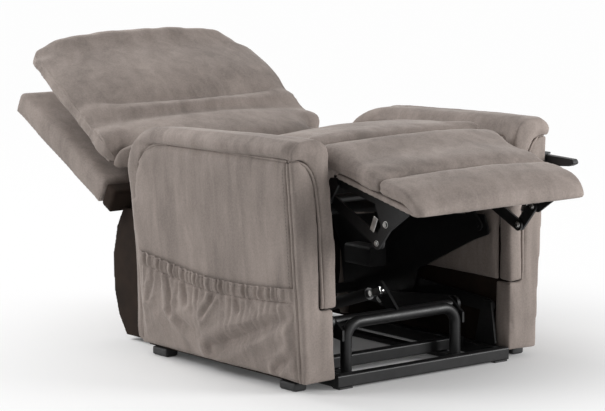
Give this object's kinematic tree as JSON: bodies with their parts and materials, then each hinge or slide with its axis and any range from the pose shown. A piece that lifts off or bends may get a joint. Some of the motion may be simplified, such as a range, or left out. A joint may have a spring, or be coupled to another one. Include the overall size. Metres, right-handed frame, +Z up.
{
  "type": "lift chair",
  "caption": "Upholstered power lift recliner with leg rest, tilting back and head pad, padded arms with side pockets, on a steel lift base.",
  "frame": {"origin": "on the floor, under the middle of the reclined chair's box", "axes": "+X to the sitter's left, +Y to the rear along the chair's length, +Z up"},
  "size_m": [0.8241, 1.5732, 0.7688],
  "materials": {
    "upholstery": "brushed velour",
    "dust_cloth": "woven dust cloth",
    "webbing": "woven elastic",
    "black_steel": "satin black powder coat",
    "zinc_steel": "zinc plated",
    "arm_wood": "plywood",
    "black_plastic": "moulded matt",
    "button_grey": "soft touch"
  },
  "bodies": {
    "base": {"base_cross_rails": "black_steel", "base_long_rails": "black_steel", "base_cross_tube": "black_steel", "base_glides": "black_plastic", "lift_hoop": "black_steel", "base_pivot_brackets": "black_steel"},
    "lift_arm": {"lift_arms": "black_steel", "lift_torque_tube": "black_steel"},
    "stabiliser": {"stabiliser_links": "black_steel"},
    "chair": {"left_arm_frame": "dust_cloth", "right_arm_frame": "dust_cloth", "left_arm_top_roll": "upholstery", "right_arm_top_roll": "upholstery", "left_arm_front_panel": "upholstery", "right_arm_front_panel": "upholstery", "left_arm_inner_panel": "upholstery", "right_arm_inner_panel": "upholstery", "left_arm_side_panel": "upholstery", "right_arm_side_panel": "upholstery", "left_side_pocket": "upholstery", "right_side_pocket": "upholstery", "arm_feet": "black_plastic", "left_side_plate": "black_steel", "right_side_plate": "black_steel", "lift_carry_pins": "black_steel", "rear_cross_tube": "black_steel", "arm_brackets": "black_steel", "power_supply": "black_plastic", "control_box": "black_plastic", "rear_dust_cover": "dust_cloth", "control_clip": "black_plastic"},
    "front_links": {"seat_front_links": "black_steel"},
    "rear_links": {"seat_rear_links": "black_steel"},
    "seat": {"seat_side_rails": "black_steel", "seat_cross_rails": "black_steel", "seat_webbing": "webbing", "seat_cushion": "upholstery"},
    "legrest": {"legrest_board": "arm_wood", "bridge_pad": "upholstery", "legrest_pad": "upholstery", "legrest_brackets": "black_steel"},
    "crank": {"legrest_crank": "black_steel"},
    "knee": {"knee_links": "black_steel"},
    "back": {"back_shell": "upholstery", "back_lower_rail": "dust_cloth", "recline_frame": "black_steel", "lumbar_pad": "upholstery", "head_hinge_ears": "black_steel"},
    "head": {"head_board": "arm_wood", "back_pad": "upholstery"},
    "lift_motor": {"lift_actuator_housing": "black_plastic"},
    "lift_rod": {"lift_actuator_rod": "zinc_steel"},
    "back_motor": {"back_actuator_housing": "black_plastic"},
    "back_rod": {"back_actuator_rod": "zinc_steel"},
    "legrest_motor": {"legrest_actuator_housing": "black_plastic"},
    "legrest_rod": {"legrest_actuator_rod": "zinc_steel"},
    "control": {"hand_control": "black_plastic"},
    "raise_button": {"raise_button": "button_grey"},
    "lower_button": {"lower_button": "button_grey"}
  },
  "joints": [
    {"name": "lift", "type": "hinge", "parent": "base", "child": "lift_arm", "pos_m": [0, -0.377, 0.135], "axis": [1, 0, 0], "range_deg": [0, 58]},
    {"name": "chair_tilt", "type": "hinge", "parent": "lift_arm", "child": "chair", "pos_m": [0, -0.098, 0.11], "axis": [1, 0, 0], "range_deg": [-34.34, 0.34]},
    {"name": "stabiliser_swing", "type": "hinge", "parent": "base", "child": "stabiliser", "pos_m": [0, -0.434, 0.13], "axis": [1, 0, 0], "range_deg": [-0.42, 42.38]},
    {"name": "recline", "type": "hinge", "parent": "chair", "child": "back", "pos_m": [0, 0.198, 0.4], "axis": [1, 0, 0], "range_deg": [0, 47]},
    {"name": "seat_front_swing", "type": "hinge", "parent": "chair", "child": "front_links", "pos_m": [0, -0.4112, 0.3309], "axis": [1, 0, 0], "range_deg": [-53.53, 0.53]},
    {"name": "seat_level", "type": "hinge", "parent": "front_links", "child": "seat", "pos_m": [0, -0.3405, 0.4017], "axis": [1, 0, 0], "range_deg": [-0.56, 56.56]},
    {"name": "seat_rear_swing", "type": "hinge", "parent": "chair", "child": "rear_links", "pos_m": [0, -0.0442, 0.2896], "axis": [1, 0, 0], "range_deg": [-64.05, 0.63]},
    {"name": "legrest_fold", "type": "hinge", "parent": "seat", "child": "legrest", "pos_m": [0, -0.457, 0.488], "axis": [1, 0, 0], "range_deg": [0, 78]},
    {"name": "crank_turn", "type": "hinge", "parent": "seat", "child": "crank", "pos_m": [0, -0.415, 0.439], "axis": [1, 0, 0], "range_deg": [-0.78, 78.78]},
    {"name": "knee_turn", "type": "hinge", "parent": "legrest", "child": "knee", "pos_m": [0, -0.635, 0.405], "axis": [1, 0, 0], "range_deg": [-78.78, 0.78]},
    {"name": "head_tilt", "type": "hinge", "parent": "back", "child": "head", "pos_m": [0, 0.37998, 0.44004], "axis": [1, 0, 0], "range_deg": [-3, 16]},
    {"name": "lift_motor_swing", "type": "hinge", "parent": "base", "child": "lift_motor", "pos_m": [0, 0.06, 0.062], "axis": [1, 0, 0], "range_deg": [-1.01, 0.01]},
    {"name": "lift_rod_slide", "type": "slide", "parent": "lift_motor", "child": "lift_rod", "axis": [0, -0.9548, 0.2972], "range_m": [-0.00078, 0.06829]},
    {"name": "back_motor_swing", "type": "hinge", "parent": "chair", "child": "back_motor", "pos_m": [0, 0.096, 0.138], "axis": [1, 0, 0], "range_deg": [-0.712, 0.007]},
    {"name": "back_rod_slide", "type": "slide", "parent": "back_motor", "child": "back_rod", "axis": [0, 0.6225, 0.7826], "range_m": [-0.00082, 0.07258]},
    {"name": "legrest_motor_swing", "type": "hinge", "parent": "seat", "child": "legrest_motor", "pos_m": [0, 0.045, 0.341], "axis": [1, 0, 0], "range_deg": [-0.01, 1.12]},
    {"name": "legrest_rod_slide", "type": "slide", "parent": "legrest_motor", "child": "legrest_rod", "axis": [0, -0.9929, 0.1188], "range_m": [-0.06973, 0.00079]},
    {"name": "control_pull", "type": "slide", "parent": "chair", "child": "control", "axis": [0, -1, 0], "range_m": [0, 0.16]},
    {"name": "raise_press", "type": "slide", "parent": "control", "child": "raise_button", "axis": [-1, 0, 0], "range_m": [0, 0.0015], "stiffness_N_per_m": 400},
    {"name": "lower_press", "type": "slide", "parent": "control", "child": "lower_button", "axis": [-1, 0, 0], "range_m": [0, 0.0015], "stiffness_N_per_m": 400}
  ],
  "couplings": [
    {"joint": "chair_tilt", "follows": "lift", "ratio": -0.58621},
    {"joint": "stabiliser_swing", "follows": "lift", "ratio": 0.72347},
    {"joint": "seat_front_swing", "follows": "recline", "ratio": -1.1277},
    {"joint": "seat_level", "follows": "recline", "ratio": 1.1915},
    {"joint": "seat_rear_swing", "follows": "recline", "ratio": -1.3493},
    {"joint": "crank_turn", "follows": "legrest_fold", "ratio": 1},
    {"joint": "knee_turn", "follows": "legrest_fold", "ratio": -1},
    {"joint": "lift_motor_swing", "follows": "lift", "ratio": -0.017277},
    {"joint": "lift_rod_slide", "follows": "lift", "m_per_rad": 0.066697},
    {"joint": "back_motor_swing", "follows": "recline", "ratio": -0.015002},
    {"joint": "back_rod_slide", "follows": "recline", "m_per_rad": 0.087483},
    {"joint": "legrest_motor_swing", "follows": "legrest_fold", "ratio": 0.014183},
    {"joint": "legrest_rod_slide", "follows": "legrest_fold", "m_per_rad": -0.050641}
  ]
}
